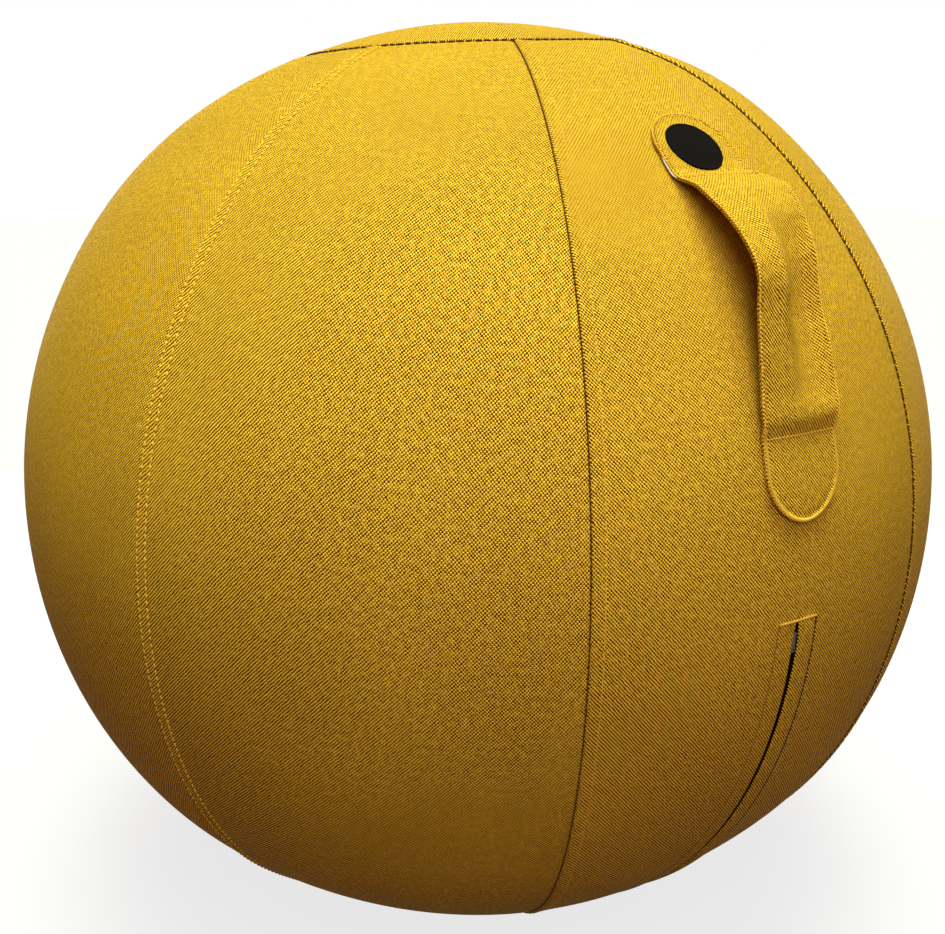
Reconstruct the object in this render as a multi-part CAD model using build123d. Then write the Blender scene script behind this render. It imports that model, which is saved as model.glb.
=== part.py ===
from build123d import *
import os
from math import asin, cos, degrees, hypot, radians, sin

# A sitting ball: an air-filled bladder in a sewn cloth cover, with a carrying handle and a zip.
# Millimetres, +Z up. The origin is the middle of the flat patch that rests on the floor.
# The handle and the zip are on the front panel, which faces -Y.
# Angles along the ball's side are measured from straight up, so 90 is the widest level.

# Ball outline, four arcs that run into each other from the top down to the floor
ball_diameter = 650.0
flank_radius = 320.0
shoulder_radius = 307.0
contact_radius = 46.0
crown_angle = 21.0
shoulder_angle = 51.5
toe_angle = 152.0

# Cover
cover_thickness = 2.0
panel_names = (
    "front_panel", "front_right_panel", "right_panel", "rear_right_panel",
    "rear_panel", "rear_left_panel", "left_panel", "front_left_panel",
)
cap_radius = 110.0

# Bladder and its valve
bladder_clearance = 0.3
bladder_wall = 1.0
valve_angle = 116.0
valve_azimuth = 14.0
valve_seat_diameter = 28.0
valve_seat_depth = 13.0
valve_flange_diameter = 40.0
valve_flange_thickness = 2.0
plug_head_diameter = 18.0
plug_head_thickness = 2.0
plug_stem_diameter = 9.0
plug_stem_length = 10.0
valve_fit = 0.1
valve_flange_gap = 0.2
plug_head_clearance = 0.4
valve_recess = 0.2

# Handle
strap_width = 57.0
strap_cloth = 1.3
strap_core = 1.6
upper_anchor_angle = 46.1
lower_anchor_angle = 72.9
tab_length = 48.0
sewn_gap = 0.1
# The free stretch of the strap: angles on the ball and how far its underside stands off the cloth there
strap_bow_angles = (67.5, 61.5, 56.0, 52.0, 48.7)
strap_bow_heights = (7.5, 14.0, 19.0, 18.0, 9.5)
badge_diameter = 36.0
badge_thickness = 0.8
badge_from_anchor = 22.5

# Zip, on an arc that shares its centre with the ball's flank
zip_top_angle = 91.6
zip_length = 326.0
slit_clearance = 0.3
lip_lift = 2.0
lip_flat = 8.0
lip_edge = 12.0
lip_foot = 10.5
lip_end = 2.0
coil_gap = 1.2
coil_width = 2.6
coil_height = 2.2
tape_edge = 16.0
tape_sewn = 4.5
tape_bend_clearance = 1.3
tape_thickness = 0.7
tape_end = 6.0
stop_length = 3.0
channel_clearance = 0.4

# Zip slider and its pull
slider_length = 11.0
slider_plate = 1.0
slider_flange = 0.7
slider_gap = 0.15
slider_flange_gap = 0.2
slider_side_gap = 0.3
slider_post_width = 0.8
slider_post_length = 2.5
pin_diameter = 1.0
pin_fit = 0.06
eye_radius = 1.1
eye_clearance = 0.3
lug_thickness = 0.9
lug_gap = 0.1
pin_from_slider_end = 4.0
pull_width = 2.4
pull_thickness = 1.2
pull_length = 12.0
pull_hole = 1.0

# Sizes that follow from those above
equator_radius = ball_diameter / 2
panel_angle = 360.0 / len(panel_names)
flank_r = equator_radius - flank_radius
toe_radius = flank_radius - (contact_radius - flank_r) / sin(radians(toe_angle))
flank_z = toe_radius - (flank_radius - toe_radius) * cos(radians(toe_angle))
shoulder_r = flank_r + (flank_radius - shoulder_radius) * sin(radians(shoulder_angle))
shoulder_z = flank_z + (flank_radius - shoulder_radius) * cos(radians(shoulder_angle))
crown_radius = shoulder_radius + shoulder_r / sin(radians(crown_angle))
crown_z = shoulder_z - (crown_radius - shoulder_radius) * cos(radians(crown_angle))
ball_height = crown_z + crown_radius

# Each arc of the outline: centre radius, centre height, radius, first angle, last angle
ball_arcs = (
    (0.0, crown_z, crown_radius, 0.0, crown_angle),
    (shoulder_r, shoulder_z, shoulder_radius, crown_angle, shoulder_angle),
    (flank_r, flank_z, flank_radius, shoulder_angle, toe_angle),
    (contact_radius, toe_radius, toe_radius, toe_angle, 180.0),
)


def ball_arc(angle):
    """Return the arc of the outline that holds this angle."""
    for arc in ball_arcs:
        if angle <= arc[4]:
            return arc
    return ball_arcs[-1]


def ball_point(angle, lift=0.0):
    """Return (y, z) on the front of the ball, lifted off its cloth."""
    centre_r, centre_z, radius, first, last = ball_arc(angle)
    reach = radius + lift
    return (-centre_r - reach * sin(radians(angle)), centre_z + reach * cos(radians(angle)))


def ball_plane(angle, azimuth=0.0, lift=0.0):
    """Return a plane on the ball that faces outwards, with its y axis running up the side."""
    y, z = ball_point(angle, lift)
    outward = Vector(0, -sin(radians(angle)), cos(radians(angle))).rotate(Axis.Z, azimuth)
    sideways = Vector(1, 0, 0).rotate(Axis.Z, azimuth)
    return Plane(origin=Vector(0, y, z).rotate(Axis.Z, azimuth), x_dir=sideways, z_dir=outward)


def outline_edges(first, last, lift):
    """Return the outline between two angles as arcs, lifted off the cloth."""
    edges = []
    for centre_r, centre_z, radius, arc_first, arc_last in ball_arcs:
        start = max(first, arc_first)
        end = min(last, arc_last)
        if end > start:
            reach = radius + lift
            points = []
            for angle in (start, (start + end) / 2, end):
                points.append((-centre_r - reach * sin(radians(angle)), centre_z + reach * cos(radians(angle))))
            edges.append(ThreePointArc(*points))
    return edges


def ball_body(lift):
    """Return a full ball whose surface lies this far off the cover's outside."""
    floor = (-contact_radius, -lift)
    edges = outline_edges(0.0, 180.0, lift)
    edges.append(Line(floor, (0, -lift)))
    edges.append(Line((0, -lift), (0, crown_z + crown_radius + lift)))
    return revolve(Plane.YZ * make_face(edges), Axis.Z)


def band_between(outer_edges, inner_edges):
    """Return the face between two open lines in the ball's middle plane."""
    first = Line(outer_edges[0] @ 0, inner_edges[0] @ 0)
    last = Line(outer_edges[-1] @ 1, inner_edges[-1] @ 1)
    return Plane.YZ * make_face([*outer_edges, *inner_edges, first, last])


def around_front(face, angle):
    """Turn a face about the ball's axis, the same way to both sides of the front."""
    return revolve(face, Axis.Z, angle).rotate(Axis.Z, -angle / 2)


def cap_cylinder(low, high):
    """Return the cylinder that bounds an end cap, between two heights."""
    return Pos(0, 0, low) * extrude(Circle(cap_radius), high - low)


def top_cylinder():
    """Return the cylinder that holds the top cap."""
    return cap_cylinder(flank_z, ball_height + cover_thickness)


def bottom_cylinder():
    """Return the cylinder that holds the bottom cap."""
    return cap_cylinder(-cover_thickness, flank_z)


# Zip frame: the axis on which the slider runs, and sections drawn as (x, height over the cloth)
zip_centre = Vector(0, -flank_r, flank_z)
zip_axis = Axis(zip_centre, (1, 0, 0))
slit_width = pull_width + 2 * slit_clearance
lip_under = lip_lift - cover_thickness
pin_level = lip_under - eye_clearance - eye_radius
slider_top = pin_level - eye_radius - eye_clearance
coil_top = slider_top - slider_plate - slider_gap
coil_level = coil_top - coil_height / 2
coil_bottom = coil_level - coil_height / 2
slider_bottom = coil_bottom - slider_gap - slider_plate
coil_inner = coil_gap / 2
coil_outer = coil_inner + coil_width
slider_half = coil_outer + slider_side_gap + slider_flange
coil_radius = flank_radius + coil_level


def zip_turn(length):
    """Return the angle that a length of zip covers on its arc."""
    return degrees(length / coil_radius)


def zip_plane(angle):
    """Return the plane across the zip at an angle: x sideways, y outwards."""
    outward_turn = (0, -cos(radians(angle)), -sin(radians(angle)))
    return Plane(origin=zip_centre, x_dir=(1, 0, 0), z_dir=outward_turn)


def zip_run(section, start, end):
    """Run a section, given as (x, height over the cloth), along the zip's arc."""
    points = []
    for x, height in section:
        points.append((x, flank_radius + height))
    face = zip_plane(start) * make_face(Polyline(*points, close=True))
    return revolve(face, zip_axis, end - start)


def block(x_first, x_last, low, high):
    """Return a rectangular zip section."""
    return ((x_first, low), (x_last, low), (x_last, high), (x_first, high))


def mirrored(section):
    """Return a zip section on the other side of the slit."""
    flipped = []
    for x, height in section:
        flipped.append((-x, height))
    return tuple(flipped)


def side_drop(x):
    """Return how far the cloth falls away at a distance from the zip."""
    return x * x / (2 * flank_radius)


zip_bottom_angle = zip_top_angle + zip_turn(zip_length)
coil_start = zip_top_angle + zip_turn(stop_length)
coil_end = zip_bottom_angle - zip_turn(stop_length)
slider_start = coil_start + zip_turn(slider_gap)
slider_end = slider_start + zip_turn(slider_length)
slider_travel = coil_end - zip_turn(slider_gap) - slider_end
# The slit runs on past the bottom stop, to leave room for the tip of the pull
pull_overhang = pin_from_slider_end + pull_length - slider_length
slit_bottom_angle = zip_bottom_angle + zip_turn(pull_overhang)


def cover_panels():
    """Return the eight panels, the front one still without its zip slit."""
    outside = outline_edges(0.0, 180.0, 0.0)
    outside.append(Line((-contact_radius, 0), (0, 0)))
    inside = outline_edges(0.0, 180.0, -cover_thickness)
    inside.append(Line((-contact_radius, cover_thickness), (0, cover_thickness)))
    gore = around_front(band_between(outside, inside), panel_angle)
    gore = gore - top_cylinder() - bottom_cylinder()
    panels = {}
    for index, name in enumerate(panel_names):
        panels[name] = gore.rotate(Axis.Z, panel_angle * index)
    return panels


def zip_panel(plain_panel):
    """Return the front panel, folded up into two lips along the slit over the zip."""
    root_top = -side_drop(lip_edge) - cover_thickness / 4
    root_bottom = root_top - cover_thickness / 2
    ridge = (
        (-lip_edge, root_bottom), (-lip_edge, root_top), (-lip_flat, lip_lift),
        (lip_flat, lip_lift), (lip_edge, root_top), (lip_edge, root_bottom),
    )
    tunnel = (
        (-lip_foot, -2 * cover_thickness), (lip_foot, -2 * cover_thickness),
        (lip_flat, lip_under), (-lip_flat, lip_under),
    )
    slit = block(-slit_width / 2, slit_width / 2, -2 * cover_thickness, 2 * lip_lift)
    end_turn = zip_turn(lip_end)
    panel = plain_panel + zip_run(ridge, zip_top_angle - end_turn, slit_bottom_angle + end_turn)
    for hollow in (tunnel, slit):
        panel -= zip_run(hollow, zip_top_angle, slit_bottom_angle)
    return panel


def end_caps():
    """Return the top and bottom caps."""
    shell = ball_body(0.0) - ball_body(-cover_thickness)
    return {"top_cap": shell & top_cylinder(), "bottom_cap": shell & bottom_cylinder()}


tape_top = coil_level + tape_thickness / 2
tape_sewn_top = -cover_thickness - side_drop(tape_edge) - sewn_gap


def zip_tape():
    """Return the right-hand tape, flat at the coil and raised where it is sewn to the panel."""
    bend = slider_half + tape_bend_clearance
    sewn = tape_edge - tape_sewn
    section = (
        (coil_outer, tape_top - tape_thickness), (coil_outer, tape_top), (bend, tape_top),
        (sewn, tape_sewn_top), (tape_edge, tape_sewn_top), (tape_edge, tape_sewn_top - tape_thickness),
        (sewn, tape_sewn_top - tape_thickness), (bend, tape_top - tape_thickness),
    )
    end_turn = zip_turn(tape_end)
    return section, zip_top_angle - end_turn, zip_bottom_angle + end_turn


def zip_chain():
    """Return the tapes, the coils and the stops at their ends."""
    section, start, end = zip_tape()
    coil = block(coil_inner, coil_outer, coil_bottom, coil_top)
    bottom_stop = block(-coil_outer, coil_outer, coil_bottom, coil_top)
    return {
        "zip_tape_right": zip_run(section, start, end),
        "zip_tape_left": zip_run(mirrored(section), start, end),
        "zip_coil_right": zip_run(coil, coil_start, coil_end),
        "zip_coil_left": zip_run(mirrored(coil), coil_start, coil_end),
        "zip_top_stops": Compound([
            zip_run(coil, zip_top_angle, coil_start),
            zip_run(mirrored(coil), zip_top_angle, coil_start),
        ]),
        "zip_bottom_stop": zip_run(bottom_stop, coil_end, zip_bottom_angle),
    }


pin_angle = slider_start + zip_turn(pin_from_slider_end)
pin_radius = flank_radius + pin_level
pin_y = zip_centre.Y - pin_radius * sin(radians(pin_angle))
pin_z = zip_centre.Z + pin_radius * cos(radians(pin_angle))
# Plane at the pull's pin: x down the zip, y outwards
pin_plane = Plane(
    origin=(0, pin_y, pin_z),
    x_dir=(0, -cos(radians(pin_angle)), -sin(radians(pin_angle))),
    z_dir=(-1, 0, 0),
)
lug_inner = pull_width / 2 + lug_gap
lug_outer = lug_inner + lug_thickness


def zip_slider():
    """Return the slider: two plates round the coils, a post between them and lugs for the pull."""
    outer_plate = block(-slider_half, slider_half, slider_top - slider_plate, slider_top)
    inner_plate = block(-slider_half, slider_half, slider_bottom, slider_bottom + slider_plate)
    half_post = slider_post_width / 2
    post = block(-half_post, half_post, slider_bottom, slider_top)
    wall = slider_half - slider_flange
    upper_flange = block(wall, slider_half, tape_top + slider_flange_gap, slider_top)
    tape_bottom = tape_top - tape_thickness
    lower_flange = block(wall, slider_half, slider_bottom, tape_bottom - slider_flange_gap)
    body = zip_run(outer_plate, slider_start, slider_end) + zip_run(inner_plate, slider_start, slider_end)
    body += zip_run(post, slider_start, slider_start + zip_turn(slider_post_length))
    for flange in (upper_flange, lower_flange):
        body += zip_run(flange, slider_start, slider_end)
        body += zip_run(mirrored(flange), slider_start, slider_end)
    lug_foot = slider_top - slider_plate / 2 - pin_level
    lug_outline = Circle(eye_radius) + Pos(0, lug_foot / 2) * Rectangle(2 * eye_radius, -lug_foot)
    lug = extrude(pin_plane * lug_outline, lug_thickness)
    body += lug.moved(Location((-lug_inner, 0, 0)))
    body += lug.moved(Location((lug_inner + lug_thickness, 0, 0)))
    body += extrude(pin_plane * Circle(pin_diameter / 2), lug_inner + lug_thickness / 2, both=True)
    return body


def zip_pull():
    """Return the pull, a slim tab that hangs from the slider's pin and lies in the slit."""
    straight = pull_length - pull_thickness / 2
    tip = Pos(straight, 0) * Circle(pull_thickness / 2)
    tab = Pos(straight / 2, 0) * Rectangle(straight, pull_thickness)
    outline = Circle(eye_radius) + tab + tip - Circle(pin_diameter / 2 + pin_fit)
    pull = extrude(pin_plane * outline, pull_width / 2, both=True)
    hole_place = pin_plane * Pos(pull_length - pull_width, 0, 0) * Rot(90, 0, 0)
    return pull - hole_place * Cylinder(pull_hole / 2, 2 * pull_width)


def strap_line(lift):
    """Return the strap's line in the middle plane, from the lower end to the upper one."""
    lower_end = lower_anchor_angle + degrees((tab_length + strap_cloth) / flank_radius)
    upper_end = upper_anchor_angle - degrees((tab_length + strap_cloth) / shoulder_radius)
    lower = outline_edges(lower_anchor_angle, lower_end, lift)
    upper = outline_edges(upper_end, upper_anchor_angle, lift)
    route = [ball_point(lower_anchor_angle, sewn_gap)]
    for angle, height in zip(strap_bow_angles, strap_bow_heights):
        route.append(ball_point(angle, height))
    route.append(ball_point(upper_anchor_angle, sewn_gap))
    free = [lower[0] @ 0]
    for before, here, after in zip(route, route[1:], route[2:]):
        run_y = after[0] - before[0]
        run_z = after[1] - before[1]
        step = (lift - sewn_gap) / hypot(run_y, run_z)
        free.append((here[0] - run_z * step, here[1] + run_y * step))
    free.append(upper[-1] @ 1)
    leave = -(lower[0] % 0)
    land = -(upper[-1] % 1)
    return [*reversed(lower), Spline(*free, tangents=(leave, land)), *reversed(upper)]


def strap_ply(low, high):
    """Return one layer of the strap between two heights over the cloth, with rounded ends."""
    reach_angle = 2 * degrees(asin(strap_width / (shoulder_r + shoulder_radius)))
    low_edges = strap_line(low)
    high_edges = strap_line(high)
    face = Plane.YZ * make_face([
        *low_edges, *high_edges,
        Line(low_edges[0] @ 1, high_edges[0] @ 1), Line(low_edges[-1] @ 0, high_edges[-1] @ 0),
    ])
    ply = around_front(face, reach_angle)
    ply = ply & Pos(0, 0, flank_z) * Box(strap_width, 2 * ball_diameter, 2 * ball_height)
    half_width = strap_width / 2
    straight = tab_length - half_width
    upper_round = ball_plane(upper_anchor_angle - degrees(straight / shoulder_radius))
    lower_round = ball_plane(lower_anchor_angle + degrees(straight / flank_radius))
    corner_height = 2 * strap_width
    for place, side in ((upper_round, 1), (lower_round, -1)):
        beyond = Pos(0, side * tab_length / 2, 0) * Box(2 * strap_width, tab_length, corner_height)
        corners = beyond - Cylinder(half_width, corner_height)
        ply = ply - place * corners
    return ply


strap_lining_top = sewn_gap + strap_cloth
strap_core_top = strap_lining_top + strap_core
strap_top = strap_core_top + strap_cloth


def handle():
    """Return the strap's three layers and the plain round badge on its upper end."""
    badge_angle = upper_anchor_angle - degrees(badge_from_anchor / shoulder_radius)
    badge_reach = degrees(badge_diameter / shoulder_radius)
    first = badge_angle - badge_reach
    last = badge_angle + badge_reach
    badge_low = strap_top + sewn_gap
    outside = outline_edges(first, last, badge_low + badge_thickness)
    inside = outline_edges(first, last, badge_low)
    badge_angle_wide = 4 * degrees(asin(badge_diameter / (shoulder_r + shoulder_radius)))
    badge = around_front(band_between(outside, inside), badge_angle_wide)
    badge = badge & ball_plane(badge_angle) * Cylinder(badge_diameter / 2, badge_diameter)
    return {
        "handle_lining": strap_ply(sewn_gap, strap_lining_top),
        "handle_core": strap_ply(strap_lining_top, strap_core_top),
        "handle_strap": strap_ply(strap_core_top, strap_top),
        "handle_badge": badge,
    }


bladder_lift = -cover_thickness - bladder_clearance


def zip_channel(grow):
    """Return the hollow that the zip presses into the bladder, grown by a wall."""
    mouth = tape_edge + channel_clearance + grow
    floor_half = slider_half + channel_clearance + grow
    floor = slider_bottom - channel_clearance - grow
    shelf = tape_sewn_top - tape_thickness - channel_clearance - grow
    section = (
        (-mouth, 2 * lip_lift), (mouth, 2 * lip_lift), (mouth, shelf),
        (floor_half, floor), (-floor_half, floor), (-mouth, shelf),
    )
    end_turn = zip_turn(tape_end + channel_clearance + grow)
    return zip_run(section, zip_top_angle - end_turn, zip_bottom_angle + end_turn)


valve_plane = ball_plane(valve_angle, valve_azimuth, bladder_lift)


def valve_cylinder(diameter, top, bottom):
    """Return a cylinder along the valve between two heights over the bladder."""
    height = top - bottom
    return valve_plane * Pos(0, 0, bottom + height / 2) * Cylinder(diameter / 2, height)


def bladder():
    """Return the air-tight inner ball, dented along the zip and pierced for the valve."""
    outside = ball_body(bladder_lift) - zip_channel(0.0)
    inside = ball_body(bladder_lift - bladder_wall) - zip_channel(bladder_wall)
    hole = valve_cylinder(valve_seat_diameter + 2 * valve_fit, valve_seat_depth, -valve_seat_depth)
    return outside - inside - hole


def valve():
    """Return the valve's seat, with a flange inside the bladder, and the plug pushed into it."""
    seat_top = -valve_recess - side_drop(valve_seat_diameter / 2)
    flange_top = -bladder_wall - side_drop(valve_flange_diameter / 2) - valve_flange_gap
    head_floor = seat_top - plug_head_thickness
    stem_end = head_floor - plug_stem_length
    seat_end = seat_top - valve_seat_depth
    seat = valve_cylinder(valve_seat_diameter, seat_top, seat_end)
    seat += valve_cylinder(valve_flange_diameter, flange_top, flange_top - valve_flange_thickness)
    seat -= valve_cylinder(plug_head_diameter + 2 * plug_head_clearance, seat_top, head_floor)
    seat -= valve_cylinder(plug_stem_diameter + 2 * valve_fit, seat_top, seat_end)
    plug = valve_cylinder(plug_head_diameter, seat_top, head_floor)
    plug += valve_cylinder(plug_stem_diameter, head_floor, stem_end)
    return {"valve_seat": seat, "valve_plug": plug}


nodes = cover_panels()
nodes["front_panel"] = zip_panel(nodes["front_panel"])
nodes.update(end_caps())
nodes.update(handle())
nodes.update(zip_chain())
nodes["zip_slider"] = zip_slider()
nodes["zip_pull"] = zip_pull()
nodes["bladder"] = bladder()
nodes.update(valve())

os.makedirs("parts", exist_ok=True)
for name, shape in nodes.items():
    export_step(shape, f"parts/{name}.step")

print(f"height {ball_height:.2f}, widest at {flank_z:.2f}, crown radius {crown_radius:.2f}")
print(f"zip axis y {zip_centre.Y:.3f} z {zip_centre.Z:.3f}, travel {slider_travel:.3f} degrees")
print(f"pull pin y {pin_y:.3f} z {pin_z:.3f}")
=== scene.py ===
# %% [markdown]
# # A sitting ball in a woven cover
# The object is an air-filled ball in a sewn cloth cover: eight upright panels, a round cap at the
# top and one below, a carrying strap with a round badge, and a short zip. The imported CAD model
# is the frame. Each cell dresses one piece of it, in metres and in the same place as the CAD.

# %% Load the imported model
import math
import bpy
import numpy as np
from mathutils import Matrix, Vector


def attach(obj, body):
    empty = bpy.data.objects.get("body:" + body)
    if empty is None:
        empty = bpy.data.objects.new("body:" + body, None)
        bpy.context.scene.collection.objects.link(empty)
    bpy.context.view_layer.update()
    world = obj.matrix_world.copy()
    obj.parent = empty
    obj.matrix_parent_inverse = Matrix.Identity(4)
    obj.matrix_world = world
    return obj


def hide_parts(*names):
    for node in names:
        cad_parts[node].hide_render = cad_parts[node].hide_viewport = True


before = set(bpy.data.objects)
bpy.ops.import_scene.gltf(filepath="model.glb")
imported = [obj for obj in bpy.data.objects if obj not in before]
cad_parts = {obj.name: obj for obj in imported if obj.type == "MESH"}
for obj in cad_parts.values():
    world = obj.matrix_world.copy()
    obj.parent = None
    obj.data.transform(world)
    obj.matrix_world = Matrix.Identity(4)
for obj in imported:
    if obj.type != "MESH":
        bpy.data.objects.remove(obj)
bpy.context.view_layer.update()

bpy.ops.object.select_all(action="DESELECT")
print("CAD nodes:", len(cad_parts))

# %% [markdown]
# ## Camera
# The photograph looks down on the ball from its front left. Where the seams and the cap's edge
# fall in it gives the camera's place and lens, and the small shift puts the ball's middle where the
# photograph has it.

# %% Camera
camera_place = Vector((-0.46415, -0.72397, 0.55725))
camera_target = Vector((0.0, 0.0, 0.305))
camera_roll = math.radians(0.48)
bpy.ops.object.camera_add(location=camera_place)
camera = bpy.context.object
aim = (camera_target - camera_place).to_track_quat("-Z", "Y").to_matrix()
camera.rotation_euler = (aim @ Matrix.Rotation(camera_roll, 3, "Z")).to_euler()
camera.data.lens = 44.32
camera.data.sensor_width = 36.0
camera.data.shift_x = -0.0057
camera.data.shift_y = 0.0043
bpy.context.scene.camera = camera
bpy.context.scene.view_settings.view_transform = "Standard"
print("camera is", round((camera_place - camera_target).length, 3), "m from the ball's middle")

# %% [markdown]
# ## Light and floor
# The ball is lit softly from above and falls into shade below. A ring of lamps could do that, but a
# sky that is bright overhead and dim at the horizon does it evenly. One broad lamp near the camera
# adds direction, and two weak ones keep the far side from going dark. Sky and floor look white to the
# camera, to gloss and to glass. For the light that they send to the ball they are darker, so its
# underside stays in shade.

# %% Sky
overhead_light = 27.0
sky_fall_off = 32.0
low_sky, high_sky = (1.0, 0.55, 0.10), (0.95, 1.0, 0.62)
low_sky_at, high_sky_at = 0.75, 0.985
world = bpy.data.worlds.new("studio_sky")
world.use_nodes = True
bpy.context.scene.world = world


def feed(tree, socket, value):
    """Link a socket to another node's output, or set its value."""
    if isinstance(value, bpy.types.NodeSocket):
        tree.links.new(value, socket)
    else:
        socket.default_value = value


def add_node(tree, kind, **inputs):
    """Add a node and feed its inputs, by name or, as i0, i1 and i2, by number."""
    made = tree.nodes.new(kind)
    for key, value in inputs.items():
        numbered = key[0] == "i" and key[1:].isdigit()
        feed(tree, made.inputs[int(key[1:]) if numbered else key], value)
    return made


def add_math(tree, operation, *values, kind="ShaderNodeMath"):
    """Add a math node and return its output."""
    made = tree.nodes.new(kind)
    made.operation = operation
    for socket, value in zip(made.inputs, values):
        feed(tree, socket, value)
    return made.outputs[0]


def add_ramp(tree, place, low, high, low_at=0.0, high_at=1.0):
    """Add a ramp from a low to a high colour and return its colour."""
    made = add_node(tree, "ShaderNodeValToRGB", Fac=place)
    for stop, at, colour in zip(made.color_ramp.elements, (low_at, high_at), (low, high)):
        stop.position = at
        stop.color = (*colour, 1)
    return made.outputs[0]


def background_rays(tree):
    """Return 1 for rays that show the background: the camera's, and those in gloss and glass."""
    path = add_node(tree, "ShaderNodeLightPath")
    shown = path.outputs["Is Camera Ray"]
    for kind in ("Is Glossy Ray", "Is Transmission Ray"):
        shown = add_math(tree, "MAXIMUM", shown, path.outputs[kind])
    return shown


sky = world.node_tree
sky.nodes.clear()
towards = add_node(sky, "ShaderNodeTexCoord").outputs["Generated"]
height = add_node(sky, "ShaderNodeSeparateXYZ", Vector=towards).outputs["Z"]
above = add_math(sky, "POWER", add_math(sky, "MAXIMUM", height, 0.0), sky_fall_off)
glow = add_math(sky, "MULTIPLY", above, overhead_light)
sky_tint = add_ramp(sky, height, low_sky, high_sky, low_sky_at, high_sky_at)
overhead = add_node(sky, "ShaderNodeBackground", Color=sky_tint, Strength=glow)
warm_room = add_node(sky, "ShaderNodeBackground", Color=(1, 0.16, 0.03, 1), Strength=0.08)
soft_sky = add_node(sky, "ShaderNodeAddShader", i0=overhead.outputs[0], i1=warm_room.outputs[0])
white_sky = add_node(sky, "ShaderNodeBackground", Color=(1, 1, 1, 1), Strength=1.0)
both = add_node(
    sky, "ShaderNodeMixShader", i0=background_rays(sky), i1=soft_sky.outputs[0], i2=white_sky.outputs[0])
add_node(sky, "ShaderNodeOutputWorld", Surface=both.outputs[0])
print("sky has a strength of", overhead_light, "straight up")

# %% Lamps and floor
camera_turn = -32.7
lamp_distance = 1.25
lamp_width = 0.6
lamp_colour = (1.0, 0.86, 0.95)
floor_width = 14.0
floor_own_light = 0.78


def add_lamp(name, turn, rise, power):
    """Add a round soft lamp that looks at the ball's middle."""
    turn, rise = math.radians(turn), math.radians(rise)
    way = Vector((math.cos(rise) * math.sin(turn), -math.cos(rise) * math.cos(turn), math.sin(rise)))
    bpy.ops.object.light_add(type="AREA", location=camera_target + way * lamp_distance)
    lamp = bpy.context.object
    lamp.name = name
    lamp.rotation_euler = (-way).to_track_quat("-Z", "Y").to_euler()
    lamp.data.shape = "DISK"
    lamp.data.size = lamp_width
    lamp.data.energy = power
    lamp.data.color = lamp_colour


add_lamp("key_lamp", camera_turn + 8.0, 30.0, 5.5)
add_lamp("right_lamp", camera_turn + 132.0, 6.0, 1.6)
add_lamp("back_lamp", camera_turn - 142.0, 6.0, 3.0)

bpy.ops.mesh.primitive_plane_add(size=floor_width, location=(0, 0, 0))
floor = bpy.context.object
floor.name = "studio_floor"
paint = bpy.data.materials.new("studio_floor_paint")
paint.use_nodes = True
tree = paint.node_tree
tree.nodes.clear()
matt = add_node(tree, "ShaderNodeBsdfDiffuse", Color=(0.68, 0.72, 0.90, 1))
lit = add_node(tree, "ShaderNodeEmission", Color=(1, 1, 1, 1), Strength=1.0)
pale = add_node(tree, "ShaderNodeMixShader", i0=floor_own_light, i1=matt.outputs[0], i2=lit.outputs[0])
shaded = add_node(tree, "ShaderNodeBsdfDiffuse", Color=(0.08, 0.035, 0.012, 1))
both = add_node(
    tree, "ShaderNodeMixShader", i0=background_rays(tree), i1=shaded.outputs[0], i2=pale.outputs[0])
add_node(tree, "ShaderNodeOutputMaterial", Surface=both.outputs[0])
floor.data.materials.append(paint)
print("floor is", floor_width, "m wide, and the lamps are", lamp_distance, "m from the ball's middle")

# %% [markdown]
# ## The woven cloth
# The cover is a coarse plain weave with its yarns about one millimetre apart, so that close up the
# cloth is a fine checker of golden and dark brown cells. Two sine waves along the cloth's own UV map,
# in metres, make that checker in the colour and in the bump, painted shade darkens the gaps between
# the weft yarns, and slow noise keeps it from looking printed.

# %% Cloth material
warp_pitch = 0.00097
weft_pitch = 0.00110


def new_material(name, roughness=0.5, specular=0.5, metallic=0.0):
    """Start a material with its shader, and return the material, its node tree and the shader."""
    made = bpy.data.materials.new(name)
    made.use_nodes = True
    made.node_tree.nodes.clear()
    shader = add_node(made.node_tree, "ShaderNodeBsdfPrincipled", Roughness=roughness, Metallic=metallic)
    shader.inputs["Specular IOR Level"].default_value = specular
    add_node(made.node_tree, "ShaderNodeOutputMaterial", Surface=shader.outputs[0])
    return made, made.node_tree, shader


def add_noise(tree, place, scale, detail):
    """Add a noise texture and return its grey value, about a half all over."""
    return add_node(tree, "ShaderNodeTexNoise", Vector=place, Scale=scale, Detail=detail).outputs["Fac"]


def add_range(tree, value, low, high, to_low, to_high, kind="LINEAR"):
    """Add a map from one range of values to another and return its value."""
    made = add_node(tree, "ShaderNodeMapRange", **{
        "Value": value, "From Min": low, "From Max": high, "To Min": to_low, "To Max": to_high})
    made.interpolation_type = kind
    return made.outputs[0]


def add_bump(tree, shader, height, strength, distance):
    """Let a height raise the surface that the light meets."""
    bump = add_node(tree, "ShaderNodeBump", Height=height, Strength=strength, Distance=distance)
    feed(tree, shader.inputs["Normal"], bump.outputs[0])


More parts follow.
